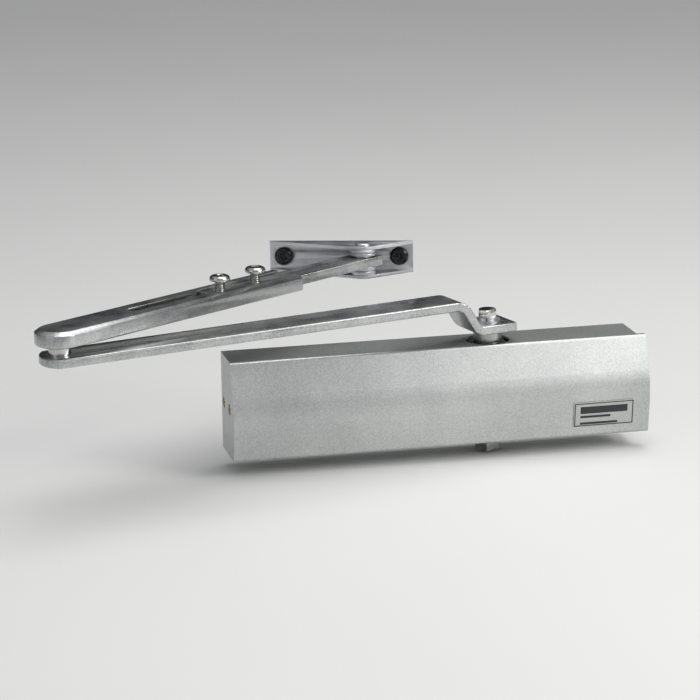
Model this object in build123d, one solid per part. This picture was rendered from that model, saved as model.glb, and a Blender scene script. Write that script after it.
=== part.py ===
from build123d import *

import os
from math import acos, cos, degrees, pi, radians, sin, sqrt, tan

# Overhead door closer with a regular two-link arm, in millimetres.
# The row frame: the origin is the centre of the four fixing holes on the closer's back plane,
# +X runs along the closer towards the door's hinges, +Y goes into the door and +Z is up.
# The rest pose is the door standing about 16 degrees ajar.

# ---- driving dimensions: cover ----
COVER_LENGTH = 250.0
COVER_HEIGHT = 58.0
TOP_DEPTH = 30.0
CREASE_DEPTH = 40.3
CREASE_Z = -0.5
BOTTOM_DEPTH = 36.2
CREASE_RADIUS = 42.0
EDGE_RADIUS = 2.0
SHEET = 1.2
BACK_GAP = 0.5
FLANGE_CUTBACK = 4.8
SPINDLE_WINDOW_RADIUS = 12.9

# ---- driving dimensions: pressure housing ----
HOUSING_LEFT = -121.0
HOUSING_RIGHT = 112.0
HOUSING_HALF_HEIGHT = 26.5
BASE_THICKNESS = 7.0
FIXING_PITCH_X = 200.0
FIXING_PITCH_Z = 45.0
FIXING_HOLE_RADIUS = 2.75
BORE_RADIUS = 14.0
PLUG_RADIUS = 15.15
PLUG_LENGTH = 14.0
COVER_SCREW_X = 80.0
COVER_SCREW_Y = -16.5

# ---- driving dimensions: spindle, rack and pinion ----
SPINDLE_X = 31.8
SPINDLE_Y = -16.5
SHAFT_RADIUS = 7.5
COLLAR_RADIUS = 8.4
SQUARE_SIZE = 10.8
SQUARE_ANGLE = 27.0
LOWER_END_Z = -37.5
GEAR_MODULE = 1.6
PINION_TEETH = 10
PRESSURE_ANGLE = radians(25.0)
ADDENDUM = 0.8 * GEAR_MODULE
DEDENDUM = ADDENDUM + 0.35
BACKLASH = 0.16
GEAR_HALF_WIDTH = 8.0
PISTON_LEFT = -12.0
PISTON_RIGHT = 76.0

# ---- driving dimensions: linkage ----
HUB_Z = 35.1
ARM_THICKNESS = 5.2
ARM_WIDTH = 24.4
ARM_Z = 51.6
ARM_DIRECTION = 195.76
ARM_LENGTH = 271.6
ARM_HUB_END = 13.2
CRANK_START = 13.5
CRANK_ANGLE = radians(58.0)
ARM_END_RADIUS = 16.1
ARM_END_CENTRE = 4.9
FOREARM_Z = 62.5
FOREARM_TOP = 71.7
FOREARM_WIDTH = 27.2
FOREARM_TOP_WIDTH = 21.6
SHOULDER_HEIGHT = 1.9
FOREARM_DIRECTION = 33.86
FOREARM_LENGTH = 176.2
FOREARM_FLOOR = 1.5
SLOT_START = 51.2
SLOT_WIDTH = 6.4
WINDOW_START = 106.0
WINDOW_WIDTH = 14.0
PIVOT_DISTANCE = 241.7
BAR_Z = 64.6
BAR_THICKNESS = 5.5
BAR_WIDTH = 16.8
BAR_START = 112.7
BAR_OVERHANG = 8.7
CLAMP_SCREW_STATIONS = (122.0, 150.5)

# ---- driving dimensions: frame bracket ----
BRACKET_DIRECTION = -16.1
BRACKET_BOTTOM = 57.6
BRACKET_TOP = 76.8
BRACKET_SHEET = 1.9
BRACKET_LEFT = 57.2
BRACKET_RIGHT = 29.5
BRACKET_BACK = 14.9
BRACKET_NOSE_RADIUS = 7.5
BRACKET_SCREW_PITCH = 70.0
PIVOT_RADIUS = 4.0

# ---- fits ----
RUN = 0.05
FACE_GAP = 0.05

HALF_LENGTH = COVER_LENGTH / 2
HALF_HEIGHT = COVER_HEIGHT / 2
PITCH_RADIUS = GEAR_MODULE * PINION_TEETH / 2
ARM_TOP = ARM_Z + ARM_THICKNESS
BAR_TOP = BAR_Z + BAR_THICKNESS


def turned(x, y, angle):
    """The place of a link: its own X axis runs along the link from the given pivot."""
    return Location((x, y, 0), (0, 0, angle))


SPINDLE_PLACE = turned(SPINDLE_X, SPINDLE_Y, 0)
ARM_PLACE = turned(SPINDLE_X, SPINDLE_Y, ARM_DIRECTION)
ELBOW_X = SPINDLE_X + ARM_LENGTH * cos(radians(ARM_DIRECTION))
ELBOW_Y = SPINDLE_Y + ARM_LENGTH * sin(radians(ARM_DIRECTION))
FOREARM_PLACE = turned(ELBOW_X, ELBOW_Y, FOREARM_DIRECTION)
PIVOT_X = ELBOW_X + PIVOT_DISTANCE * cos(radians(FOREARM_DIRECTION))
PIVOT_Y = ELBOW_Y + PIVOT_DISTANCE * sin(radians(FOREARM_DIRECTION))
BRACKET_PLACE = turned(PIVOT_X, PIVOT_Y, BRACKET_DIRECTION)


def disc(radius, bottom, top, x=0.0, y=0.0):
    """A vertical cylinder from bottom to top."""
    height = top - bottom
    return Pos(x, y, bottom + height / 2) * Cylinder(radius, height)


def ring(outer, inner, bottom, top, x=0.0, y=0.0):
    """A vertical washer or bush."""
    return disc(outer, bottom, top, x, y) - disc(inner, bottom - 1, top + 1, x, y)


def rod_x(radius, start, end, y=0.0, z=0.0):
    """A cylinder along X from start to end."""
    length = end - start
    return Pos(start + length / 2, y, z) * Rot(0, 90, 0) * Cylinder(radius, length)


def block(x0, x1, y0, y1, z0, z1):
    """A box between two corners."""
    return Pos((x0 + x1) / 2, (y0 + y1) / 2, (z0 + z1) / 2) * Box(x1 - x0, y1 - y0, z1 - z0)


def cover_outline(inset=0.0, back=-BACK_GAP):
    """The cover's cross-section in the Y-Z plane, shrunk by inset; Plane.YZ has Y across and Z up."""
    corners = [
        (back, -HALF_HEIGHT),
        (-BOTTOM_DEPTH, -HALF_HEIGHT),
        (-CREASE_DEPTH, CREASE_Z),
        (-TOP_DEPTH, HALF_HEIGHT),
        (back, HALF_HEIGHT),
    ]
    face = make_face(Polyline(*corners, close=True))
    front = face.vertices().sort_by(Axis.X)
    face = fillet(front[0], CREASE_RADIUS)
    edges = [v for v in face.vertices() if abs(abs(v.Y) - HALF_HEIGHT) < 0.01 and v.X < back - 1]
    face = fillet(edges, EDGE_RADIUS)
    if inset:
        face = offset(face, -inset)
    return face


def along_x(face, start, end):
    """Extrude a Y-Z outline along X from start to end."""
    return extrude(Plane.YZ.offset(start) * face, end - start)


# ---- cover, end plates and badge ----

def cover_shell():
    """The folded sheet: front panel with its crease, top and bottom flanges, open ends."""
    start = -HALF_LENGTH + SHEET
    outer = along_x(cover_outline(), start, HALF_LENGTH)
    inner = along_x(cover_outline(SHEET), start - 1, HALF_LENGTH + 1)
    open_back = block(start - 1, HALF_LENGTH + 1, -SHEET - 2, 1, SHEET - HALF_HEIGHT, HALF_HEIGHT - SHEET)
    shell = outer - inner - open_back
    for side in (-1, 1):
        level = side * HALF_HEIGHT
        shell -= disc(SPINDLE_WINDOW_RADIUS, level - 3, level + 3, SPINDLE_X, SPINDLE_Y)
        cutback = HALF_LENGTH - FLANGE_CUTBACK
        shell -= block(cutback, HALF_LENGTH + 1, -TOP_DEPTH + 2.8, 1, level - 2, level + 2)
    for x in (-COVER_SCREW_X, COVER_SCREW_X):
        shell -= disc(2.2, -HALF_HEIGHT - 1, -HALF_HEIGHT + 3, x, COVER_SCREW_Y)
    return shell


def end_plate(outline, start, tab_end):
    """A flat end plate with two tabs, bent inwards, that lie against the cover's flanges."""
    plate = along_x(outline, start, start + SHEET)
    low, high = sorted((start + SHEET / 2, tab_end))
    for side in (-1, 1):
        near, far = sorted((side * (HALF_HEIGHT - SHEET), side * (HALF_HEIGHT - 2 * SHEET)))
        plate += block(low, high, -22, -8, near, far)
    return plate


VALVE_OFFSETS = {"closing_speed_screw": 8.75, "latching_speed_screw": -8.75}


def left_end_plate():
    plate = end_plate(cover_outline(), -HALF_LENGTH, -HALF_LENGTH + 13)
    for across in VALVE_OFFSETS.values():
        plate -= rod_x(3.2, -HALF_LENGTH - 1, -HALF_LENGTH + 3, SPINDLE_Y + across)
    return plate


def right_end_plate():
    start = HALF_LENGTH - FLANGE_CUTBACK - SHEET - 0.2
    return end_plate(cover_outline(SHEET + 0.02, -BACK_GAP), start, start - 9)


def cover_badge():
    """A thin plate bonded on the lower half of the front panel, near its right end."""
    lean = degrees(acos((CREASE_Z + HALF_HEIGHT) / sqrt(
        (CREASE_Z + HALF_HEIGHT) ** 2 + (CREASE_DEPTH - BOTTOM_DEPTH) ** 2)))
    centre_z = -15.0
    slope = (CREASE_DEPTH - BOTTOM_DEPTH) / (CREASE_Z + HALF_HEIGHT)
    depth = CREASE_DEPTH - (CREASE_Z - centre_z) * slope
    place = Pos(96.7, -depth, centre_z) * Rot(90 + lean, 0, 0)
    return place * extrude(RectangleRounded(37.0, 15.4, 0.8), 0.4)


def cover_screws():
    """Two pan-head screws up through the lower flange into the housing's bosses."""
    screws = []
    for x in (-COVER_SCREW_X, COVER_SCREW_X):
        head = disc(3.6, -HALF_HEIGHT - 2.4, -HALF_HEIGHT, x, COVER_SCREW_Y)
        head = fillet(head.edges().group_by(Axis.Z)[0], 1.2)
        slot = block(x - 4, x + 4, COVER_SCREW_Y - 0.5, COVER_SCREW_Y + 0.5, -32, -HALF_HEIGHT - 1.3)
        screws.append(head + disc(1.95, -HALF_HEIGHT - 0.1, -19, x, COVER_SCREW_Y) - slot)
    return Compound(screws)


# ---- pressure housing and its sealed parts ----

BEARING_OUTER = 9.5
NUT_RADIUS = 10.5


def housing():
    body = block(HOUSING_LEFT, HOUSING_RIGHT, -BASE_THICKNESS, 0, -HOUSING_HALF_HEIGHT, HOUSING_HALF_HEIGHT)
    body = fillet(body.edges().filter_by(Axis.Y), 3)
    body += rod_x(-SPINDLE_Y, HOUSING_LEFT, HOUSING_RIGHT, SPINDLE_Y)
    body += disc(12, -HOUSING_HALF_HEIGHT, HOUSING_HALF_HEIGHT, SPINDLE_X, SPINDLE_Y)
    for x in (-COVER_SCREW_X, COVER_SCREW_X):
        body += disc(4.5, -HOUSING_HALF_HEIGHT, -10, x, COVER_SCREW_Y)
    for x in (-55, -30, -5):
        body += block(x - 1.5, x + 1.5, -20, -1, -HOUSING_HALF_HEIGHT + 3, HOUSING_HALF_HEIGHT - 3)
    body -= rod_x(BORE_RADIUS, HOUSING_LEFT - 1, HOUSING_RIGHT + 1, SPINDLE_Y)
    plug_seat = PLUG_RADIUS + RUN
    body -= rod_x(plug_seat, HOUSING_LEFT - 1, HOUSING_LEFT + PLUG_LENGTH, SPINDLE_Y)
    body -= rod_x(plug_seat, HOUSING_RIGHT - PLUG_LENGTH, HOUSING_RIGHT + 1, SPINDLE_Y)
    body -= disc(BEARING_OUTER, -HOUSING_HALF_HEIGHT - 1, HOUSING_HALF_HEIGHT + 1, SPINDLE_X, SPINDLE_Y)
    for side in (-1, 1):
        low, high = sorted((side * 24.5, side * (HOUSING_HALF_HEIGHT + 1)))
        body -= disc(NUT_RADIUS + RUN, low, high, SPINDLE_X, SPINDLE_Y)
    for x in (-FIXING_PITCH_X / 2, FIXING_PITCH_X / 2):
        for z in (-FIXING_PITCH_Z / 2, FIXING_PITCH_Z / 2):
            body -= Pos(x, -BASE_THICKNESS / 2, z) * Rot(90, 0, 0) * Cylinder(FIXING_HOLE_RADIUS, 20)
    for x in (-COVER_SCREW_X, COVER_SCREW_X):
        body -= disc(2.0, -HOUSING_HALF_HEIGHT - 1, -18.5, x, COVER_SCREW_Y)
    return body


SEAL_RADIUS = 0.95
SEAL_MAJOR = PLUG_RADIUS + RUN - SEAL_RADIUS - 0.02


def plug_groove(x):
    depth = 2 * SEAL_RADIUS + 0.1
    return rod_x(PLUG_RADIUS + 1, x - 1.3, x + 1.3, SPINDLE_Y) - rod_x(
        PLUG_RADIUS - depth, x - 2, x + 2, SPINDLE_Y)


def plug_seal(x):
    return Pos(x, SPINDLE_Y, 0) * Rot(0, 90, 0) * Torus(SEAL_MAJOR, SEAL_RADIUS)


LEFT_SEAL_X = HOUSING_LEFT + PLUG_LENGTH - 3
RIGHT_SEAL_X = HOUSING_RIGHT - PLUG_LENGTH + 3
VALVE_HEAD_RADIUS = 2.7
VALVE_NEEDLE_RADIUS = 1.4
VALVE_STEP_X = HOUSING_LEFT + 7


def left_end_plug():
    """The plug that carries the two speed valves."""
    plug = rod_x(PLUG_RADIUS, HOUSING_LEFT, HOUSING_LEFT + PLUG_LENGTH, SPINDLE_Y)
    plug = chamfer(plug.edges().group_by(Axis.X)[0], 0.6)
    plug -= plug_groove(LEFT_SEAL_X)
    for across in VALVE_OFFSETS.values():
        y = SPINDLE_Y + across
        plug -= rod_x(VALVE_HEAD_RADIUS + RUN, HOUSING_LEFT - 1, VALVE_STEP_X, y)
        plug -= rod_x(VALVE_NEEDLE_RADIUS + RUN, VALVE_STEP_X - 1, HOUSING_LEFT + PLUG_LENGTH + 1, y)
    return plug


def right_end_plug():
    plug = rod_x(PLUG_RADIUS, HOUSING_RIGHT - PLUG_LENGTH, HOUSING_RIGHT, SPINDLE_Y)
    plug = chamfer(plug.edges().group_by(Axis.X)[-1], 0.6)
    key = extrude(Plane.YZ.offset(HOUSING_RIGHT - 7) * RegularPolygon(5.8, 6), 8)
    return plug - plug_groove(RIGHT_SEAL_X) - Pos(0, SPINDLE_Y, 0) * key


def valve_screw(across):
    """A slotted needle screw along X; its head shows in the hole of the left end plate."""
    y = SPINDLE_Y + across
    head_x = -HALF_LENGTH + 0.4
    screw = rod_x(VALVE_HEAD_RADIUS, head_x, VALVE_STEP_X - 0.2, y)
    screw = chamfer(screw.edges().group_by(Axis.X)[0], 0.4)
    screw += rod_x(VALVE_NEEDLE_RADIUS, VALVE_STEP_X - 0.5, HOUSING_LEFT + PLUG_LENGTH - 2, y)
    return screw - block(head_x - 1, head_x + 1, y - 4, y + 4, -0.45, 0.45)


def spindle_bearing(side):
    low, high = sorted((side * 17, side * 24.2))
    return SPINDLE_PLACE * ring(BEARING_OUTER - 0.02, SHAFT_RADIUS + RUN, low, high)


def bearing_nut(side):
    """A threaded ring with two spanner notches that holds the bearing and the seal."""
    low, high = sorted((side * 24.5, side * 28.0))
    nut = ring(NUT_RADIUS, 8.4, low, high)
    for x in (-NUT_RADIUS, NUT_RADIUS):
        notch_low, notch_high = sorted((side * 27.0, side * 30.0))
        nut -= block(x - 1.4, x + 1.4, -1.2, 1.2, notch_low, notch_high)
    return SPINDLE_PLACE * nut


def spindle_seal(side):
    low, high = sorted((side * 25.0, side * 27.2))
    return SPINDLE_PLACE * ring(8.35, SHAFT_RADIUS + 0.03, low, high)


SPRING_WIRE = 1.7
SPRING_RADIUS = 10.6
SPRING_COILS = 14


def main_spring():
    """The closing spring between the left plug and the piston."""
    start = HOUSING_LEFT + PLUG_LENGTH + SPRING_WIRE + 0.2
    length = PISTON_LEFT - SPRING_WIRE - 0.2 - start
    path = Helix(length / SPRING_COILS, length, SPRING_RADIUS, (start, SPINDLE_Y, 0), (1, 0, 0))
    section = Plane(path @ 0, z_dir=path % 0) * Circle(SPRING_WIRE)
    return sweep(section, path, is_frenet=True)


# ---- piston with its rack ----

def rack_tooth(x):
    """One straight-flanked tooth that points from the front wall towards the spindle."""
    half_pitch = pi * GEAR_MODULE / 4 - BACKLASH / 4
    pitch_line = SPINDLE_Y - PITCH_RADIUS
    tip = half_pitch - ADDENDUM * tan(PRESSURE_ANGLE)
    root = half_pitch + DEDENDUM * tan(PRESSURE_ANGLE)
    corners = [
        (x - root, pitch_line - DEDENDUM - 0.5),
        (x - root, pitch_line - DEDENDUM),
        (x - tip, pitch_line + ADDENDUM),
        (x + tip, pitch_line + ADDENDUM),
        (x + root, pitch_line - DEDENDUM),
        (x + root, pitch_line - DEDENDUM - 0.5),
    ]
    face = make_face(Polyline(*corners, close=True))
    return extrude(Plane.XY.offset(-GEAR_HALF_WIDTH) * face, 2 * GEAR_HALF_WIDTH)


def piston():
    body = rod_x(BORE_RADIUS - RUN, PISTON_LEFT, PISTON_RIGHT, SPINDLE_Y)
    tip_radius = PITCH_RADIUS + ADDENDUM
    window = block(
        SPINDLE_X - 5.6 - tip_radius - 0.7,
        SPINDLE_X + 14.7 + tip_radius + 0.7,
        SPINDLE_Y - PITCH_RADIUS - DEDENDUM,
        SPINDLE_Y + tip_radius + 0.6,
        -20,
        20,
    )
    body -= window
    rack_pitch = pi * GEAR_MODULE
    for number in range(-2, 5):
        body += rack_tooth(SPINDLE_X + number * rack_pitch)
    seal_groove = rod_x(BORE_RADIUS + 1, -8, -4.8, SPINDLE_Y) - rod_x(12.3, -9, -4, SPINDLE_Y)
    body -= seal_groove
    body -= rod_x(3.0 + 0.01, PISTON_RIGHT - 8, PISTON_RIGHT + 1, SPINDLE_Y)
    body -= rod_x(1.2, SPINDLE_X + 20, PISTON_RIGHT, SPINDLE_Y)
    return body


def piston_seal():
    return rod_x(BORE_RADIUS - 0.03, -7.9, -4.9, SPINDLE_Y) - rod_x(12.35, -9, -4, SPINDLE_Y)


def check_valve():
    """A brass insert in the piston's end with its flow hole."""
    return rod_x(3.0, PISTON_RIGHT - 8, PISTON_RIGHT, SPINDLE_Y) - rod_x(
        0.8, PISTON_RIGHT - 9, PISTON_RIGHT + 1, SPINDLE_Y)


# ---- spindle with its pinion ----

def involute(value):
    return tan(value) - value


def pinion_tooth(turn):
    """One involute tooth centred on the direction turn, in radians."""
    base = PITCH_RADIUS * cos(PRESSURE_ANGLE)
    tip = PITCH_RADIUS + ADDENDUM
    half_angle = (pi / 2 - BACKLASH / (2 * GEAR_MODULE)) / PINION_TEETH

    def flank(radius, side):
        spread = half_angle + involute(PRESSURE_ANGLE) - involute(acos(min(1.0, base / radius)))
        angle = turn + side * spread
        return radius * cos(angle), radius * sin(angle)

    steps = [base + (tip - base) * k / 5 for k in range(6)]
    right = [flank(radius, -1) for radius in steps]
    left = [flank(radius, 1) for radius in reversed(steps)]
    inner = 4.0 / base
    foot_left = (left[-1][0] * inner, left[-1][1] * inner)
    foot_right = (right[0][0] * inner, right[0][1] * inner)
    top = (tip * cos(turn), tip * sin(turn))
    outline = Curve() + [
        Spline(*right),
        ThreePointArc(right[-1], top, left[0]),
        Spline(*left),
        Line(left[-1], foot_left),
        Line(foot_left, foot_right),
        Line(foot_right, right[0]),
    ]
    return extrude(Plane.XY.offset(-GEAR_HALF_WIDTH) * make_face(outline), 2 * GEAR_HALF_WIDTH)


def square_end(bottom, top):
    """A square with its corners turned to the shaft's radius."""
    height = top - bottom
    bar = Pos(0, 0, bottom + height / 2) * Box(SQUARE_SIZE, SQUARE_SIZE, height)
    return (Rot(0, 0, SQUARE_ANGLE) * bar) & disc(SHAFT_RADIUS, bottom, top)


def pinion_spindle():
    root_radius = PITCH_RADIUS - DEDENDUM
    shaft = disc(root_radius, -GEAR_HALF_WIDTH, GEAR_HALF_WIDTH)
    shaft += disc(SHAFT_RADIUS, -28.5, -GEAR_HALF_WIDTH)
    shaft += disc(SHAFT_RADIUS, GEAR_HALF_WIDTH, 28.4)
    shaft += disc(COLLAR_RADIUS, 28.4, HUB_Z)
    pitch = 2 * pi / PINION_TEETH
    for number in range(PINION_TEETH):
        shaft += pinion_tooth(-pi / 2 + (number + 0.5) * pitch)
    shaft += square_end(LOWER_END_Z, -28.5)
    shaft += square_end(HUB_Z, HUB_Z + ARM_THICKNESS - 0.4)
    shaft -= disc(3.05, 22, HUB_Z + ARM_THICKNESS)
    return SPINDLE_PLACE * shaft


# ---- main arm and its fastening ----

ELBOW_PIN_RADIUS = 5.0


def strip_plan(end_x, half_width, radius, centre):
    """The plan of the arm strip: square at the hub and a shallow arc at the elbow."""
    length = centre + ARM_HUB_END
    strip = Pos((centre - ARM_HUB_END) / 2, 0) * Rectangle(length, 2 * half_width)
    strip = fillet(strip.vertices().group_by(Axis.X)[0], 1.5)
    beyond = Pos(end_x, 0) * Rectangle(2 * (end_x - centre), 2 * half_width)
    return strip + ((Pos(centre, 0) * Circle(radius)) & beyond)


def main_arm():
    """A flat strip, cranked upwards close to its hub, with an arc at the elbow."""
    crank_run = (ARM_Z - HUB_Z) / tan(CRANK_ANGLE)
    bend = ARM_THICKNESS * tan(CRANK_ANGLE / 2)
    crank_end = CRANK_START + crank_run
    centre = ARM_LENGTH - ARM_END_CENTRE
    end = centre + ARM_END_RADIUS
    corners = [
        (-ARM_HUB_END, HUB_Z),
        (CRANK_START, HUB_Z),
        (crank_end, ARM_Z),
        (end, ARM_Z),
        (end, ARM_TOP),
        (crank_end - bend, ARM_TOP),
        (CRANK_START - bend, HUB_Z + ARM_THICKNESS),
        (-ARM_HUB_END, HUB_Z + ARM_THICKNESS),
    ]
    profile = make_face(Polyline(*corners, close=True))
    bends = (
        (CRANK_START - bend, HUB_Z + ARM_THICKNESS, 4.5),
        (CRANK_START, HUB_Z, 4.5 + ARM_THICKNESS),
        (crank_end, ARM_Z, 6.0),
        (crank_end - bend, ARM_TOP, 6.0 + ARM_THICKNESS),
    )
    for x, z, radius in bends:
        corner = min(profile.vertices(), key=lambda v: (v.X - x) ** 2 + (v.Y - z) ** 2)
        profile = fillet(corner, radius)
    strip = extrude(Plane.XZ.offset(-ARM_WIDTH / 2) * profile, ARM_WIDTH)
    strip &= extrude(strip_plan(end, ARM_WIDTH / 2, ARM_END_RADIUS, centre), 80)
    socket = Pos(0, 0, HUB_Z) * Box(SQUARE_SIZE + 2 * RUN, SQUARE_SIZE + 2 * RUN, 20)
    strip -= Rot(0, 0, SQUARE_ANGLE - ARM_DIRECTION) * socket
    strip -= disc(ELBOW_PIN_RADIUS, ARM_Z - 1, ARM_TOP + 1, ARM_LENGTH)
    return ARM_PLACE * strip


HUB_TOP = HUB_Z + ARM_THICKNESS


BOLT_HEAD_HEIGHT = 4.8


def arm_washer():
    return SPINDLE_PLACE * ring(7.5, 3.2, HUB_TOP, HUB_TOP + 1.2)


def spring_washer():
    """A split lock washer."""
    low = HUB_TOP + 1.2
    washer = ring(5.5, 3.2, low, low + 1.3)
    return SPINDLE_PLACE * (washer - Rot(0, 0, 250) * block(0, 8, -0.4, 0.4, low - 1, low + 3))


def arm_bolt():
    low = HUB_TOP + 2.5
    head = Pos(0, 0, low) * extrude(RegularPolygon(5.0, 6, major_radius=False), BOLT_HEAD_HEIGHT)
    rim = Cone(5.0 + BOLT_HEAD_HEIGHT, 5.0, BOLT_HEAD_HEIGHT, align=(Align.CENTER, Align.CENTER, Align.MIN))
    head &= Pos(0, 0, low) * rim
    return SPINDLE_PLACE * (Rot(0, 0, 12) * head + disc(3.0, low - 18, low))


# ---- forearm channel and elbow joint ----

BUSH_OUTER = 6.6
BUSH_TOP = FOREARM_Z + 3.5
CLIP_Z = BUSH_TOP + 1.3
ELBOW_CHAMBER_RADIUS = 8.6
ELBOW_COLLAR_RADIUS = 6.4


def forearm_plan(half_width):
    """The forearm's plan at one height: round about the elbow, straight to the open end."""
    return Circle(half_width) + Pos(FOREARM_LENGTH / 2, 0) * Rectangle(FOREARM_LENGTH, 2 * half_width)


def forearm_channel():
    """A forged arm with a sloped shoulder all round its top and a milled, slotted channel for the bar."""
    shoulder = FOREARM_TOP - SHOULDER_HEIGHT
    body = Pos(0, 0, FOREARM_Z) * extrude(forearm_plan(FOREARM_WIDTH / 2), shoulder - FOREARM_Z)
    low_edges = [e for e in body.edges().group_by(Axis.Z)[0] if e.center().X < FOREARM_LENGTH - 1]
    body = fillet(low_edges, 1.6)
    top = loft([
        Pos(0, 0, shoulder) * forearm_plan(FOREARM_WIDTH / 2),
        Pos(0, 0, FOREARM_TOP) * forearm_plan(FOREARM_TOP_WIDTH / 2),
    ])
    body += top
    body = split(body, Plane(origin=(FOREARM_LENGTH, 0, 0), z_dir=(-1, 0, 0)))
    inside = BAR_WIDTH / 2 + 0.4
    floor = FOREARM_Z + FOREARM_FLOOR
    lip = BAR_TOP + 0.1
    body -= block(SLOT_START - 10, FOREARM_LENGTH + 1, -inside, inside, floor, lip)
    for start, width in ((SLOT_START, SLOT_WIDTH), (WINDOW_START, WINDOW_WIDTH)):
        length = FOREARM_LENGTH + 20 - start
        body -= Pos(0, 0, lip - 1) * extrude(Pos(start + length / 2, 0) * SlotOverall(length, width), 5)
    body -= disc(BUSH_OUTER, FOREARM_Z - 1, lip - 1)
    body -= disc(ELBOW_CHAMBER_RADIUS, BUSH_TOP, lip)
    return FOREARM_PLACE * body


def elbow_bush():
    """The bearing bush pressed in the forearm's floor."""
    return FOREARM_PLACE * ring(BUSH_OUTER, ELBOW_PIN_RADIUS + RUN, FOREARM_Z, BUSH_TOP)


def elbow_pin():
    """The pin is riveted flush in the main arm; its collar carries the forearm above the arm."""
    pin = disc(ELBOW_PIN_RADIUS, ARM_Z, BAR_TOP - 0.3)
    pin += disc(ELBOW_COLLAR_RADIUS, ARM_TOP, FOREARM_Z - FACE_GAP)
    pin = chamfer(pin.edges().group_by(Axis.Z)[-1], 0.6)
    pin -= ring(7, 4.2, CLIP_Z - 0.05, CLIP_Z + 1.15)
    return Pos(ELBOW_X, ELBOW_Y, 0) * pin


def elbow_washer():
    return Pos(ELBOW_X, ELBOW_Y, 0) * ring(8.0, ELBOW_PIN_RADIUS + 0.1, BUSH_TOP + FACE_GAP, CLIP_Z - 0.02)


def elbow_clip():
    """A snap ring in the pin's groove, open on one side."""
    clip = ring(7.0, 4.25, CLIP_Z, CLIP_Z + 1.1)
    return Pos(ELBOW_X, ELBOW_Y, 0) * (clip - block(0, 9, -1.4, 1.4, CLIP_Z - 1, CLIP_Z + 2))


# ---- link bar ----

LINK_BUSH_OUTER = 5.6
BUSH_RISE = 0.85


def link_bar():
    """The flat bar that slides in the channel and sets the linkage's length."""
    end = PIVOT_DISTANCE + BAR_OVERHANG
    plan = Pos((BAR_START + end) / 2, 0) * RectangleRounded(end - BAR_START, BAR_WIDTH, 0.8)
    bar = Pos(0, 0, BAR_Z) * extrude(plan, BAR_THICKNESS)
    bar -= disc(LINK_BUSH_OUTER, BAR_Z - 1, BAR_TOP + 1, PIVOT_DISTANCE)
    for station in CLAMP_SCREW_STATIONS:
        bar -= disc(3.0, BAR_Z - 1, BAR_TOP + 1, station)
    return FOREARM_PLACE * bar


def link_bush():
    """The pivot's bush; it stands a little above the bar and carries the upper washers."""
    top = BAR_TOP + BUSH_RISE
    return FOREARM_PLACE * ring(LINK_BUSH_OUTER, PIVOT_RADIUS + RUN, BAR_Z, top, PIVOT_DISTANCE)


PAN_HEAD_HEIGHT = 3.2


def clamp_screw(station):
    """A pan-head screw with a cross recess, threaded in the bar; it presses on the channel's floor."""
    under_head = BAR_TOP + 6.2
    top = under_head + PAN_HEAD_HEIGHT
    head = disc(6.0, under_head, top)
    head = fillet(head.edges().group_by(Axis.Z)[-1], 2.2)
    head = fillet(head.edges().group_by(Axis.Z)[0], 0.5)
    for turn in (20, 110):
        head -= Pos(0, 0, top) * Rot(0, 0, turn) * Box(5.4, 1.2, 3.0)
    screw = head + disc(3.0, FOREARM_Z + FOREARM_FLOOR + 0.1, under_head + 0.1)
    return FOREARM_PLACE * (Pos(station, 0, 0) * screw)


# ---- frame bracket ----

def bracket_screw_places():
    middle = (BRACKET_RIGHT - BRACKET_LEFT) / 2
    return (middle - BRACKET_SCREW_PITCH / 2, middle + BRACKET_SCREW_PITCH / 2)


BRACKET_MIDDLE_Z = (BRACKET_BOTTOM + BRACKET_TOP) / 2


def rod_y(radius, start, end, x, z):
    """A cylinder along Y from start to end."""
    length = end - start
    return Pos(x, start + length / 2, z) * Rot(90, 0, 0) * Cylinder(radius, length)


def frame_bracket():
    """A folded shoe: a back plate with two pointed ears that hold the pivot pin."""
    width = BRACKET_LEFT + BRACKET_RIGHT
    middle = (BRACKET_RIGHT - BRACKET_LEFT) / 2
    foot = 3.0
    base = Pos(middle, BRACKET_BACK - foot / 2) * Rectangle(width, foot)
    outline = make_hull(Sketch([base, Circle(BRACKET_NOSE_RADIUS)]).edges())
    height = BRACKET_TOP - BRACKET_BOTTOM
    body = Pos(0, 0, BRACKET_BOTTOM) * extrude(outline, height)
    back_edges = [e for e in body.edges().filter_by(Axis.X) if e.center().Y > BRACKET_BACK - 0.1]
    body = fillet(back_edges, 2.4)
    inside_back = BRACKET_BACK - BRACKET_SHEET
    body -= block(
        -BRACKET_LEFT - 1,
        BRACKET_RIGHT + 1,
        -BRACKET_NOSE_RADIUS - 1,
        inside_back,
        BRACKET_BOTTOM + BRACKET_SHEET,
        BRACKET_TOP - BRACKET_SHEET,
    )
    body -= disc(PIVOT_RADIUS, BRACKET_BOTTOM - 1, BRACKET_TOP + 1)
    for x in bracket_screw_places():
        body -= rod_y(2.5, inside_back - 1, BRACKET_BACK + 1, x, BRACKET_MIDDLE_Z)
    return BRACKET_PLACE * body


def bracket_pivot_pin():
    """A rivet: domed head above the upper ear, flush below the lower one."""
    pin = disc(PIVOT_RADIUS, BRACKET_BOTTOM, BRACKET_TOP)
    head = disc(4.8, BRACKET_TOP, BRACKET_TOP + 1.6)
    head = fillet(head.edges().group_by(Axis.Z)[-1], 1.2)
    return BRACKET_PLACE * (pin + head)


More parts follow.
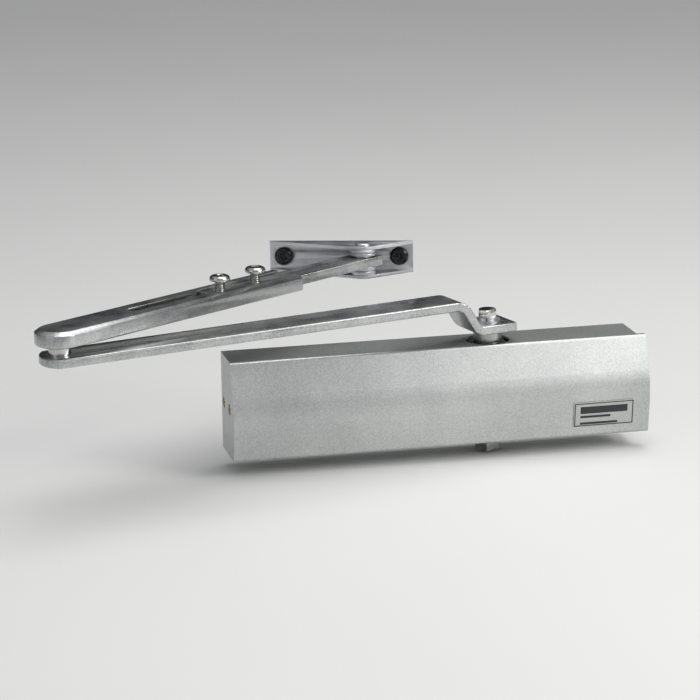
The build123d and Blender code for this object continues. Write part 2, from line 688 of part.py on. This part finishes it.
def pivot_washers():
    """Two washers above the bar and two below it, as heights from bottom to top."""
    stack = BAR_TOP + BUSH_RISE
    thickness_up = (BRACKET_TOP - BRACKET_SHEET - stack - 2 * FACE_GAP) / 2
    thickness_down = (BAR_Z - BRACKET_BOTTOM - BRACKET_SHEET - 2 * FACE_GAP) / 2
    washers = {}
    for number in (1, 2):
        low = stack + FACE_GAP + (number - 1) * thickness_up
        washers[f"upper_pivot_washer_{number}"] = (low, low + thickness_up)
        high = BAR_Z - FACE_GAP - (number - 1) * thickness_down
        washers[f"lower_pivot_washer_{number}"] = (high - thickness_down, high)
    return washers


def pivot_washer(low, high):
    washer = ring(8.1, PIVOT_RADIUS + 0.1, low + 0.01, high - 0.01)
    washer = fillet(washer.edges().filter_by(GeomType.CIRCLE).group_by(SortBy.RADIUS)[-1], 0.5)
    return BRACKET_PLACE * washer


WOOD_HEAD_RADIUS = 5.6
WOOD_HEAD_HEIGHT = 3.2
WOOD_NECK_RADIUS = 2.0
WOOD_THREAD_RADIUS = 2.4
WOOD_THREAD_LENGTH = 24.0
WOOD_TIP_LENGTH = 6.0


def bracket_screw(x):
    """A black pan-head wood screw: its neck passes the back plate and its thread goes into the frame."""
    inside_back = BRACKET_BACK - BRACKET_SHEET
    head = rod_y(WOOD_HEAD_RADIUS, inside_back - WOOD_HEAD_HEIGHT, inside_back, x, BRACKET_MIDDLE_Z)
    head = fillet(head.edges().group_by(Axis.Y)[0], 2.2)
    for turn in (0, 90):
        head -= Pos(x, inside_back - 3.0, BRACKET_MIDDLE_Z) * Rot(0, turn + 20, 0) * Box(5.0, 2.4, 1.2)
    neck = rod_y(WOOD_NECK_RADIUS, inside_back - 0.1, BRACKET_BACK, x, BRACKET_MIDDLE_Z)
    thread_end = BRACKET_BACK + WOOD_THREAD_LENGTH
    thread = rod_y(WOOD_THREAD_RADIUS, BRACKET_BACK, thread_end, x, BRACKET_MIDDLE_Z)
    tip_place = Pos(x, thread_end + WOOD_TIP_LENGTH / 2, BRACKET_MIDDLE_Z) * Rot(-90, 0, 0)
    tip = tip_place * Cone(WOOD_THREAD_RADIUS, 0.4, WOOD_TIP_LENGTH)
    return BRACKET_PLACE * (head + neck + thread + tip)


def all_parts():
    parts = {
        "cover_shell": cover_shell(),
        "left_end_plate": left_end_plate(),
        "right_end_plate": right_end_plate(),
        "cover_badge": cover_badge(),
        "cover_screws": cover_screws(),
        "housing": housing(),
        "left_end_plug": left_end_plug(),
        "right_end_plug": right_end_plug(),
        "left_plug_seal": plug_seal(LEFT_SEAL_X),
        "right_plug_seal": plug_seal(RIGHT_SEAL_X),
        "main_spring": main_spring(),
        "piston": piston(),
        "piston_seal": piston_seal(),
        "check_valve": check_valve(),
        "pinion_spindle": pinion_spindle(),
        "main_arm": main_arm(),
        "elbow_bush": elbow_bush(),
        "arm_washer": arm_washer(),
        "spring_washer": spring_washer(),
        "arm_bolt": arm_bolt(),
        "forearm_channel": forearm_channel(),
        "elbow_pin": elbow_pin(),
        "elbow_washer": elbow_washer(),
        "elbow_clip": elbow_clip(),
        "link_bar": link_bar(),
        "link_bush": link_bush(),
        "frame_bracket": frame_bracket(),
        "bracket_pivot_pin": bracket_pivot_pin(),
    }
    for name, across in VALVE_OFFSETS.items():
        parts[name] = valve_screw(across)
    for name, side in (("upper", 1), ("lower", -1)):
        parts[f"{name}_spindle_bearing"] = spindle_bearing(side)
        parts[f"{name}_bearing_nut"] = bearing_nut(side)
        parts[f"{name}_spindle_seal"] = spindle_seal(side)
    for number, station in enumerate(CLAMP_SCREW_STATIONS, 1):
        parts[f"clamp_screw_{number}"] = clamp_screw(station)
    for name, (low, high) in pivot_washers().items():
        parts[name] = pivot_washer(low, high)
    for number, x in enumerate(bracket_screw_places(), 1):
        parts[f"bracket_screw_{number}"] = bracket_screw(x)
    return parts


os.makedirs("parts", exist_ok=True)
for name, shape in all_parts().items():
    export_step(shape, f"parts/{name}.step")
print("elbow", round(ELBOW_X, 2), round(ELBOW_Y, 2), "pivot", round(PIVOT_X, 2), round(PIVOT_Y, 2))
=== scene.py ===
from math import atan2, cos, pi, radians, sin

import bpy
from mathutils import Matrix, Vector


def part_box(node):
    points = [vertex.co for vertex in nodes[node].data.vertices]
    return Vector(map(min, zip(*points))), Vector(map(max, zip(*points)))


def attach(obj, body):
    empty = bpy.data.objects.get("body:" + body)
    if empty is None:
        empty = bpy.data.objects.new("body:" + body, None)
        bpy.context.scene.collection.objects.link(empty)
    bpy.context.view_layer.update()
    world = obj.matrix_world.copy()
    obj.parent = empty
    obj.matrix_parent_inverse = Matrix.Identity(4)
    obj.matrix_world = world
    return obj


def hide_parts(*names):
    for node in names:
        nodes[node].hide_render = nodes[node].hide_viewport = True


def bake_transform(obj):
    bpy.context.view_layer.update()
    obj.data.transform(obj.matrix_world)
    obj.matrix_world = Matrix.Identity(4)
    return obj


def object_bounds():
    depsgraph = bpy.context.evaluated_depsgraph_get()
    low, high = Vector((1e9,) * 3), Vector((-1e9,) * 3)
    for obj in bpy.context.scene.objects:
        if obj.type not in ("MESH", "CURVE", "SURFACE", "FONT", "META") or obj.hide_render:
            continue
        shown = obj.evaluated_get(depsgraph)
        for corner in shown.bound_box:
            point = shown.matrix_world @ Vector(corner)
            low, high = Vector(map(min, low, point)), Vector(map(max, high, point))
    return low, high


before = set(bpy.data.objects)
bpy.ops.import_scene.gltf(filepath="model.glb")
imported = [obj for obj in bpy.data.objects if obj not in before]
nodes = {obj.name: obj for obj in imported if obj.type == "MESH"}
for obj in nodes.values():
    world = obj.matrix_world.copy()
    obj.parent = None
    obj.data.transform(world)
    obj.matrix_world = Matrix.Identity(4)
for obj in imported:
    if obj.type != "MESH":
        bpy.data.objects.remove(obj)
cad_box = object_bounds()
bpy.ops.object.select_all(action="DESELECT")

# ---- studio ----
# A plain pale table top under the closer, with a softbox and a panel to the right, a wide light above
# and a weak fill at the left. The room has a white ceiling and is darker behind the closer than in front.
scene = bpy.context.scene
scene.view_settings.view_transform = "Standard"


def linear(hex_colour):
    """An sRGB colour such as 'A0A4A8' as linear RGBA."""
    channels = [int(hex_colour[i:i + 2], 16) / 255 for i in (0, 2, 4)]
    return [c / 12.92 if c <= 0.04045 else ((c + 0.055) / 1.055) ** 2.4 for c in channels] + [1.0]


def node(tree, kind, inputs=None, **settings):
    """Add a shader node; an input is either a value or another node's output."""
    made = tree.nodes.new("ShaderNode" + kind)
    for name, value in settings.items():
        setattr(made, name, value)
    for name, value in (inputs or {}).items():
        if isinstance(value, bpy.types.NodeSocket):
            tree.links.new(value, made.inputs[name])
        else:
            made.inputs[name].default_value = value
    return made


def material(name, **constants):
    """A new material with its shader, its tree and its Object coordinates."""
    made = bpy.data.materials.new(name)
    made.use_nodes = True
    tree = made.node_tree
    shader = tree.nodes["Principled BSDF"]
    for socket, value in constants.items():
        shader.inputs[socket.replace("_", " ")].default_value = value
    place = node(tree, "TexCoord").outputs["Object"]
    return made, tree, shader, place


def colour_from(tree, shader, factor, low, high, start=0.0, end=1.0):
    """Colour the shader between two hex colours by a pattern's value."""
    ramp = node(tree, "ValToRGB", {"Fac": factor})
    ramp.color_ramp.elements[0].color = linear(low)
    ramp.color_ramp.elements[1].color = linear(high)
    ramp.color_ramp.elements[0].position = start
    ramp.color_ramp.elements[1].position = end
    tree.links.new(ramp.outputs["Color"], shader.inputs["Base Color"])


FLOOR_SIZE = 12
FLOOR_GAP = 0.0015
FLOOR_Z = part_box("pinion_spindle")[0].z - FLOOR_GAP
bpy.ops.mesh.primitive_plane_add(size=FLOOR_SIZE, location=(0, 0, FLOOR_Z))
floor = bpy.context.object
floor.name = "table_top"
pale, tree, shader, place = material("pale_table_lacquer", Roughness=0.6)
mottle = node(tree, "TexNoise", {"Vector": place, "Scale": 3.0, "Detail": 2.0})
colour_from(tree, shader, mottle.outputs["Fac"], "DEDEDD", "E6E6E5")
floor.data.materials.append(pale)

camera_data = bpy.data.cameras.new("camera")
camera_data.lens = 152.9
camera_data.sensor_width = 36.0
CAMERA_PLACE = (-0.4153, -1.6565, 0.4591)
camera = bpy.data.objects.new("camera", camera_data)
camera_right = Vector((0.9753, -0.2202, -0.0141))
camera_up = Vector((0.068, 0.2393, 0.9686))
camera_axes = Matrix((camera_right, camera_up, camera_right.cross(camera_up))).transposed()
camera.matrix_world = Matrix.Translation(CAMERA_PLACE) @ camera_axes.to_4x4()
scene.collection.objects.link(camera)
scene.camera = camera


def softbox(name, place, target, width, height, power, tint):
    """A rectangular soft light that faces its target."""
    data = bpy.data.lights.new(name, "AREA")
    data.shape = "RECTANGLE"
    data.size, data.size_y = width, height
    data.energy = power
    data.color = linear(tint)[:3]
    light = bpy.data.objects.new(name, data)
    light.location = place
    light.rotation_euler = (Vector(target) - Vector(place)).to_track_quat("-Z", "Y").to_euler()
    scene.collection.objects.link(light)


middle = (cad_box[0] + cad_box[1]) / 2
softbox("key", (1.15, -0.9, 0.85), middle, 0.8, 0.6, 12, "FFFDFA")
softbox("panel", (0.62, -1.0, 0.52), middle, 0.5, 0.45, 1.6, "FFFFFF")
softbox("overhead", (0.2, -0.05, 1.3), middle, 1.4, 0.9, 10, "FFFFFF")
softbox("fill", (-1.3, -0.7, 0.5), middle, 0.8, 0.8, 1.5, "F4F7FF")

world = bpy.data.worlds.new("studio_room")
scene.world = world
world.use_nodes = True
air = world.node_tree
direction = node(air, "TexCoord").outputs["Generated"]
split = node(air, "SeparateXYZ", {"Vector": direction})
front_to_back = node(air, "MapRange", {"Value": split.outputs["Y"], "From Min": -1.0, "From Max": 1.0})
depth = node(air, "ValToRGB", {"Fac": front_to_back.outputs["Result"]})
depth.color_ramp.elements[0].color = linear("C8CACC")
depth.color_ramp.elements[1].color = linear("2C2E32")
ceiling = node(air, "MapRange", {"Value": split.outputs["Z"], "From Min": 0.5, "From Max": 0.95})
sky = node(air, "Mix", {0: ceiling.outputs["Result"], 6: depth.outputs["Color"], 7: linear("F4F4F4")},
           data_type="RGBA")
air.links.new(sky.outputs[2], air.nodes["Background"].inputs["Color"])
ROOM_STRENGTH = 0.68
air.nodes["Background"].inputs["Strength"].default_value = ROOM_STRENGTH

# ---- cover ----
# One folded sheet-steel cover with a soft crease along its front, closed by a flat plate at each end.
# It is sprayed with silver metallic lacquer: fine aluminium flake under a satin clear coat.


def roughness_from(tree, shader, factor, low, high):
    """Spread the roughness between two values by a pattern's value."""
    spread = node(tree, "MapRange", {"Value": factor, "From Min": 0.3, "From Max": 0.7,
                                     "To Min": low, "To Max": high})
    tree.links.new(spread.outputs["Result"], shader.inputs["Roughness"])


def bump_from(tree, shader, height, millimetres, strength=1.0):
    """Raise the surface by a pattern's value; the relief is given in millimetres."""
    relief = node(tree, "Bump", {"Height": height, "Distance": millimetres / 1000, "Strength": strength})
    tree.links.new(relief.outputs["Normal"], shader.inputs["Normal"])


silver, tree, shader, place = material("silver_metallic_lacquer", Metallic=0.88, Coat_Weight=0.12,
                                       Coat_Roughness=0.25)
# The real flake is about 0.05 mm; it is drawn at about 0.5 mm so that it still shows.
flake = node(tree, "TexVoronoi", {"Vector": place, "Scale": 2000.0})
drift = node(tree, "TexNoise", {"Vector": place, "Scale": 14.0, "Detail": 3.0})
blend = node(tree, "Mix", {0: 0.6, 2: flake.outputs["Color"], 3: drift.outputs["Fac"]})
colour_from(tree, shader, blend.outputs[0], "9EA1A1", "D2D4D2", 0.2, 0.8)
grain = node(tree, "TexNoise", {"Vector": place, "Scale": 900.0, "Detail": 2.0})
roughness_from(tree, shader, grain.outputs["Fac"], 0.36, 0.5)
# Spray leaves a faint orange peel, about 1.5 mm from dimple to dimple.
peel = node(tree, "TexNoise", {"Vector": place, "Scale": 650.0, "Detail": 2.0})
bump_from(tree, shader, peel.outputs["Fac"], 0.02)


def finish(made, *names):
    """Give CAD nodes that stay in view their real finish."""
    for name in names:
        nodes[name].data.materials.clear()
        nodes[name].data.materials.append(made)


finish(silver, "cover_shell", "left_end_plate", "right_end_plate")

# ---- badge ----
# A thin printed plate bonded to the lower half of the front, near its right end.
# A raised dark frame surrounds plain bars of two heights; it carries no wording.
BADGE_HEIGHT = 0.0154
BADGE_THICKNESS = 0.0004
BADGE_EDGE = 0.0003
badge_low, badge_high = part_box("cover_badge")
badge_length = badge_high.x - badge_low.x
badge_lean = atan2(badge_high.y - badge_low.y - BADGE_THICKNESS, badge_high.z - badge_low.z)
badge_turn = Matrix.Translation((badge_low + badge_high) / 2) @ Matrix.Rotation(badge_lean, 4, "X")


def bar_on_badge(name, x, z, length, height, lift):
    """A flat bar on the badge's face, as a mesh in place."""
    bpy.ops.mesh.primitive_cube_add(size=1)
    bar = bpy.context.object
    bar.name = name
    stretch = Matrix.Diagonal((length, lift, height, 1))
    bar.data.transform(badge_turn @ Matrix.Translation((x, -lift / 2, z)) @ stretch)
    return bar


def select_only(piece):
    """Select one piece and make it active."""
    bpy.ops.object.select_all(action="DESELECT")
    piece.select_set(True)
    bpy.context.view_layer.objects.active = piece


def soften(piece, width, segments=3, angle=30.0):
    """Round a piece's sharp edges by a bevel, then shade it smooth up to that angle."""
    select_only(piece)
    bevel = piece.modifiers.new("edges", "BEVEL")
    bevel.width = width
    bevel.segments = segments
    bevel.limit_method = "ANGLE"
    bevel.angle_limit = radians(angle)
    bevel.harden_normals = True
    bpy.ops.object.modifier_apply(modifier=bevel.name)
    bpy.ops.object.shade_smooth_by_angle(angle=radians(angle))


def joined(name, pieces):
    """Join several meshes into one piece."""
    select_only(pieces[0])
    for piece in pieces:
        piece.select_set(True)
    bpy.ops.object.join()
    bpy.context.object.name = name
    return bpy.context.object


def fit(piece, made, body, slot_name, *replaced):
    """Give a new piece its finish, the body it moves with and the CAD nodes it stands for."""
    piece.data.materials.append(made)
    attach(piece, body)
    if replaced:
        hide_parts(*replaced)


print_grey, tree, shader, place = material("pewter_badge_enamel", Metallic=0.5)
# The printed grain is drawn at 0.7 mm so that it still shows.
speck = node(tree, "TexNoise", {"Vector": place, "Scale": 1500.0, "Detail": 2.0})
colour_from(tree, shader, speck.outputs["Fac"], "A3A6A4", "C2C5C2")
roughness_from(tree, shader, speck.outputs["Fac"], 0.4, 0.55)
ink, tree, shader, place = material("dark_badge_print", Metallic=0.1)
speck = node(tree, "TexNoise", {"Vector": place, "Scale": 1500.0, "Detail": 2.0})
colour_from(tree, shader, speck.outputs["Fac"], "1E2022", "34373A")
roughness_from(tree, shader, speck.outputs["Fac"], 0.4, 0.6)

plate = bar_on_badge("badge_plate", 0, 0, badge_length, BADGE_HEIGHT, BADGE_THICKNESS)
soften(plate, BADGE_EDGE, 2)

RIM_WIDTH = 0.0005
RIM_LIFT = 0.0006
RIM_UP_SHARE = 0.94
RIM_ALONG_SHARE = 0.97
BAR_LIFT = 0.00055
BAR_ROW_TOP = 0.0028
BAR_ROW_STEP = 0.0042
BAR_ROWS = ((0.0044, 0.78), (0.0014, 0.5), (0.0014, 0.62))
marks = []
for side in (-1, 1):
    up = side * (BADGE_HEIGHT - RIM_WIDTH) / 2 * RIM_UP_SHARE
    along = side * (badge_length - RIM_WIDTH) / 2 * RIM_ALONG_SHARE
    marks.append(bar_on_badge("rim_long", 0, up, badge_length * RIM_ALONG_SHARE, RIM_WIDTH, RIM_LIFT))
    marks.append(bar_on_badge("rim_short", along, 0, RIM_WIDTH, BADGE_HEIGHT * RIM_UP_SHARE, RIM_LIFT))
for row, (height, share) in enumerate(BAR_ROWS):
    shift = (share - BAR_ROWS[0][1]) * badge_length / 2
    level = BAR_ROW_TOP - row * BAR_ROW_STEP
    marks.append(bar_on_badge("bar", shift, level, badge_length * share, height, BAR_LIFT))
badge_marks = joined("badge_marks", marks)
soften(badge_marks, 0.00008, 2)
fit(plate, print_grey, "closer_body", "badge_print", "cover_badge")
fit(badge_marks, ink, "closer_body", "badge_print")

# ---- pressure housing ----
# The cast-aluminium body behind the cover, with the grainy skin of a die casting under a thin grey primer.
# It is bolted to the door through four holes and bored through for the piston.
casting, tree, shader, place = material("primed_die_casting", Metallic=0.35)
skin = node(tree, "TexNoise", {"Vector": place, "Scale": 320.0, "Detail": 5.0})
colour_from(tree, shader, skin.outputs["Fac"], "6E7174", "8D9093", 0.3, 0.7)
roughness_from(tree, shader, skin.outputs["Fac"], 0.5, 0.68)
bump_from(tree, shader, skin.outputs["Fac"], 0.12)
finish(casting, "housing")

# ---- plugs, bearings, piston and spindle ----
# The screwed-in plugs, the bearings with their nuts, the rack piston and the pinion spindle.
# They are turned and ground steel with fine tool rings and a thin film of oil.
turned_steel, tree, shader, place = material("turned_bright_steel", Metallic=1.0)
# Real tool rings are about 0.1 mm apart; they are drawn at about 0.6 mm, up the height, so that they show.
rings = node(tree, "TexWave", {"Vector": place, "Scale": 520.0, "Distortion": 0.6, "Detail": 2.0},
             bands_direction="Z")
stain = node(tree, "TexNoise", {"Vector": place, "Scale": 160.0, "Detail": 4.0})
blend = node(tree, "Mix", {0: 0.6, 2: rings.outputs["Fac"], 3: stain.outputs["Fac"]})
colour_from(tree, shader, blend.outputs[0], "8B8A86", "C4C5C3")
roughness_from(tree, shader, stain.outputs["Fac"], 0.2, 0.38)
bump_from(tree, shader, rings.outputs["Fac"], 0.012)
finish(turned_steel, "left_end_plug", "right_end_plug", "upper_bearing_nut", "lower_bearing_nut", "piston",
       "pinion_spindle", "upper_spindle_bearing", "lower_spindle_bearing")

# ---- closing spring ----
# The coil between the left plug and the piston, of oil-tempered wire: blue-grey with a fine scale.
# It stands on the plug. In the closer it shortens as the piston comes towards it; this copy keeps one length.
wire, tree, shader, place = material("oil_tempered_wire", Metallic=0.9)
scale = node(tree, "TexNoise", {"Vector": place, "Scale": 500.0, "Detail": 3.0})
colour_from(tree, shader, scale.outputs["Fac"], "3A3F47", "626973")
roughness_from(tree, shader, scale.outputs["Fac"], 0.28, 0.42)
MERGE_GAP = 0.00001


def reworked(name, source, flat=True):
    """Copy a CAD node's mesh as a new piece, its triangles joined and, where flat, dissolved into faces."""
    piece = bpy.data.objects.new(name, nodes[source].data.copy())
    scene.collection.objects.link(piece)
    piece.data.materials.clear()
    select_only(piece)
    bpy.ops.object.mode_set(mode="EDIT")
    bpy.ops.mesh.select_all(action="SELECT")
    bpy.ops.mesh.remove_doubles(threshold=MERGE_GAP)
    if flat:
        bpy.ops.mesh.dissolve_limited(angle_limit=radians(1.0))
    bpy.ops.object.mode_set(mode="OBJECT")
    return piece


spring = reworked("coil_closing_spring", "main_spring", flat=False)
spring.data.materials.append(wire)
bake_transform(spring)
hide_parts("main_spring")

# ---- seals ----
# Moulded black nitrile rings on the two plugs, the piston and both ends of the spindle.
# The rubber is matt, with a slight unevenness of sheen.
nitrile, tree, shader, place = material("black_nitrile_rubber", Specular_IOR_Level=0.4)
cure = node(tree, "TexNoise", {"Vector": place, "Scale": 700.0, "Detail": 2.0})
colour_from(tree, shader, cure.outputs["Fac"], "151516", "242527")
roughness_from(tree, shader, cure.outputs["Fac"], 0.5, 0.7)
finish(nitrile, "left_plug_seal", "right_plug_seal", "upper_spindle_seal", "lower_spindle_seal",
       "piston_seal")

# ---- brass valves and elbow bush ----
# The check valve, the two speed valves and the elbow bush, machined from free-cutting brass.
# The brass is a little tarnished; the two valve heads show in the left end plate.
brass, tree, shader, place = material("machined_brass", Metallic=1.0)
tarnish = node(tree, "TexNoise", {"Vector": place, "Scale": 420.0, "Detail": 4.0})
colour_from(tree, shader, tarnish.outputs["Fac"], "A08248", "D1B472")
roughness_from(tree, shader, tarnish.outputs["Fac"], 0.22, 0.4)
finish(brass, "check_valve", "closing_speed_screw", "latching_speed_screw", "elbow_bush")

# ---- main arm ----
# A cranked strip of hot-rolled steel with tumbled edges, zinc plated and then lacquered silver.
# The plating pools a little, so the sheen is mottled.
lacquer, tree, shader, place = material("silver_lacquered_steel", Metallic=0.95, Coat_Weight=0.1,
                                        Coat_Roughness=0.2)
pool = node(tree, "TexNoise", {"Vector": place, "Scale": 55.0, "Detail": 5.0, "Roughness": 0.6})
speckle = node(tree, "TexVoronoi", {"Vector": place, "Scale": 1800.0})
blend = node(tree, "Mix", {0: 0.6, 2: speckle.outputs["Color"], 3: pool.outputs["Fac"]})
colour_from(tree, shader, blend.outputs[0], "8C8E8F", "D2D4D3", 0.2, 0.8)
roughness_from(tree, shader, pool.outputs["Fac"], 0.24, 0.38)
dimple = node(tree, "TexNoise", {"Vector": place, "Scale": 260.0, "Detail": 3.0})
bump_from(tree, shader, dimple.outputs["Fac"], 0.05)
ARM_EDGE = 0.0012
arm = reworked("cranked_main_arm", "main_arm")
soften(arm, ARM_EDGE, 4)
fit(arm, lacquer, "spindle_arm", "arm_paint", "main_arm")

# ---- forearm ----
# A forged and milled channel with a sloped shoulder round its top; the bar slides in its slot.
# It is finished as the main arm is.
FOREARM_EDGE = 0.00025
forearm = reworked("slotted_forearm", "forearm_channel")
soften(forearm, FOREARM_EDGE, 2)
fit(forearm, lacquer, "forearm", "arm_paint", "forearm_channel")

# ---- link bar ----
# A flat bar with sheared ends that slides in the forearm's channel; the clamp screws are tapped into it.
# It is finished as the arms are.
BAR_EDGE = 0.0004
bar = reworked("sliding_link_bar", "link_bar")
soften(bar, BAR_EDGE)
fit(bar, lacquer, "link", "arm_paint", "link_bar")

# ---- bracket ----
# A shoe folded from zinc-plated strip, with its rivet, its washers and the other small plated rings.
# The plating is bright and slightly blue, with a cloudy sheen.
zinc, tree, shader, place = material("blue_bright_zinc_plate", Metallic=1.0)
bloom = node(tree, "TexNoise", {"Vector": place, "Scale": 90.0, "Detail": 5.0, "Distortion": 0.6})
fine = node(tree, "TexNoise", {"Vector": place, "Scale": 1100.0, "Detail": 2.0})
blend = node(tree, "Mix", {0: 0.7, 2: fine.outputs["Fac"], 3: bloom.outputs["Fac"]})
colour_from(tree, shader, blend.outputs[0], "B4B6BB", "D6D8DA", 0.2, 0.8)
roughness_from(tree, shader, bloom.outputs["Fac"], 0.32, 0.46)
bump_from(tree, shader, bloom.outputs["Fac"], 0.02)
SHOE_EDGE = 0.0003
shoe = reworked("folded_bracket", "frame_bracket")
soften(shoe, SHOE_EDGE)
fit(shoe, zinc, "bracket", "zinc_plate", "frame_bracket")
finish(zinc, "bracket_pivot_pin", "upper_pivot_washer_1", "upper_pivot_washer_2", "lower_pivot_washer_1",
       "lower_pivot_washer_2", "arm_washer", "spring_washer", "elbow_washer", "elbow_clip", "link_bush")

# ---- elbow pin and cover screws ----
# The turned pin between the arms, and the two small screws up through the cover's lower flange.
# They are barrel-nickelled steel, nearly a mirror, with fine tumbling marks.
nickel, tree, shader, place = material("barrel_nickel_plate", Metallic=1.0)
haze = node(tree, "TexNoise", {"Vector": place, "Scale": 650.0, "Detail": 3.0})
colour_from(tree, shader, haze.outputs["Fac"], "A9A8A4", "D8D7D2")
roughness_from(tree, shader, haze.outputs["Fac"], 0.1, 0.22)
finish(nickel, "elbow_pin", "cover_screws")

# ---- clamp screws ----
# Two nickelled M6 pan-head screws, half driven into the link bar, so their threads show under the heads.
# The thread is drawn at 1.1 mm pitch, a little coarser than the real 1.0 mm.
CLAMP_PITCH = 0.0011
CLAMP_THREAD_RADIUS = 0.0031
CLAMP_HEAD_HEIGHT = 0.0032
CLAMP_STUB = 0.0002
CLAMP_EDGE = 0.00015
THREAD_CORE_SHARE = 0.84


def threaded_shank(name, bottom, top, radius, pitch, place, axis):
    """A shank turned from a zigzag profile: closed ridges one pitch apart stand for the thread."""
    turns = int((top - bottom) / pitch)
    core = radius * THREAD_CORE_SHARE
    profile = [(0.0, bottom)]
    for ridge in range(turns):
        profile += [(core, bottom + ridge * pitch), (radius, bottom + (ridge + 0.5) * pitch)]
    profile += [(core, bottom + turns * pitch), (core, top), (0.0, top)]
    mesh = bpy.data.meshes.new(name)
    mesh.from_pydata([(r, 0, z) for r, z in profile], [(i, i + 1) for i in range(len(profile) - 1)], [])
    shank = bpy.data.objects.new(name, mesh)
    scene.collection.objects.link(shank)
    select_only(shank)
    bpy.ops.object.mode_set(mode="EDIT")
    bpy.ops.mesh.select_all(action="SELECT")
    bpy.ops.mesh.spin(steps=32, angle=2 * pi, center=(0, 0, 0), axis=(0, 0, 1))
    bpy.ops.mesh.select_all(action="SELECT")
    bpy.ops.mesh.remove_doubles(threshold=MERGE_GAP)
    bpy.ops.mesh.normals_make_consistent(inside=False)
    bpy.ops.object.mode_set(mode="OBJECT")
    turn = Vector((0, 0, 1)).rotation_difference(Vector(axis)).to_matrix().to_4x4()
    shank.data.transform(Matrix.Translation(place) @ turn)
    bpy.ops.object.shade_smooth_by_angle(angle=radians(35))
    return shank


def cut_below(piece, height):
    """Cut away all of a piece below a height and close the cut."""
    select_only(piece)
    bpy.ops.object.mode_set(mode="EDIT")
    bpy.ops.mesh.select_all(action="SELECT")
    bpy.ops.mesh.bisect(plane_co=(0, 0, height), plane_no=(0, 0, 1), clear_inner=True, use_fill=True)
    bpy.ops.object.mode_set(mode="OBJECT")


for number in ("1", "2"):
    low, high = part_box("clamp_screw_" + number)
    centre = (low + high) / 2
    under_head = high.z - CLAMP_HEAD_HEIGHT
    head = reworked("clamp_screw_head_" + number, "clamp_screw_" + number)
    cut_below(head, under_head - CLAMP_STUB)
    soften(head, CLAMP_EDGE, 2, 40.0)
    thread = threaded_shank("clamp_screw_thread_" + number, low.z, under_head, CLAMP_THREAD_RADIUS,
                            CLAMP_PITCH, (centre.x, centre.y, 0), (0, 0, 1))
    fit(head, nickel, "link", "nickel_plate", "clamp_screw_" + number)
    fit(thread, nickel, "link", "nickel_plate")

# ---- arm bolt ----
# A hexagon bolt with a chamfered crown holds the arm on the spindle's square, over a flat and a split washer.
# It is barrel nickelled as the clamp screws are.
BOLT_EDGE = 0.00025
bolt = reworked("arm_hexagon_bolt", "arm_bolt")
soften(bolt, BOLT_EDGE)
fit(bolt, nickel, "spindle_arm", "nickel_plate", "arm_bolt")

# ---- bracket screws ----
# Two pan-head wood screws, steel with a black oxide and wax finish, that hold the bracket to the door frame.
# Each has a cross recess and a coarse thread that ends in a point.
oxide, tree, shader, place = material("waxed_black_oxide", Metallic=0.4, Coat_Weight=0.3, Coat_Roughness=0.15)
wax = node(tree, "TexNoise", {"Vector": place, "Scale": 800.0, "Detail": 3.0})
colour_from(tree, shader, wax.outputs["Fac"], "070708", "151617")
roughness_from(tree, shader, wax.outputs["Fac"], 0.18, 0.32)
WOOD_PITCH = 0.0018
WOOD_THREAD_LENGTH = 0.0235
WOOD_THREAD_RADIUS = 0.0029
WOOD_EDGE = 0.0002
# The thread starts this far in front of the screw's middle, behind the bracket's back plate.
THREAD_START = 0.0119
bracket_turn = radians(-16.1)
into_frame = Vector((-sin(bracket_turn), cos(bracket_turn), 0))
for number in ("1", "2"):
    low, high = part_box("bracket_screw_" + number)
    head = reworked("wood_screw_head_" + number, "bracket_screw_" + number)
    soften(head, WOOD_EDGE, 2, 40.0)
    bracket_back = (low + high) / 2 - into_frame * THREAD_START
    thread = threaded_shank("wood_screw_thread_" + number, 0, WOOD_THREAD_LENGTH, WOOD_THREAD_RADIUS,
                            WOOD_PITCH, bracket_back, into_frame)
    fit(head, oxide, "bracket", "black_screw", "bracket_screw_" + number)
    fit(thread, oxide, "bracket", "black_screw")
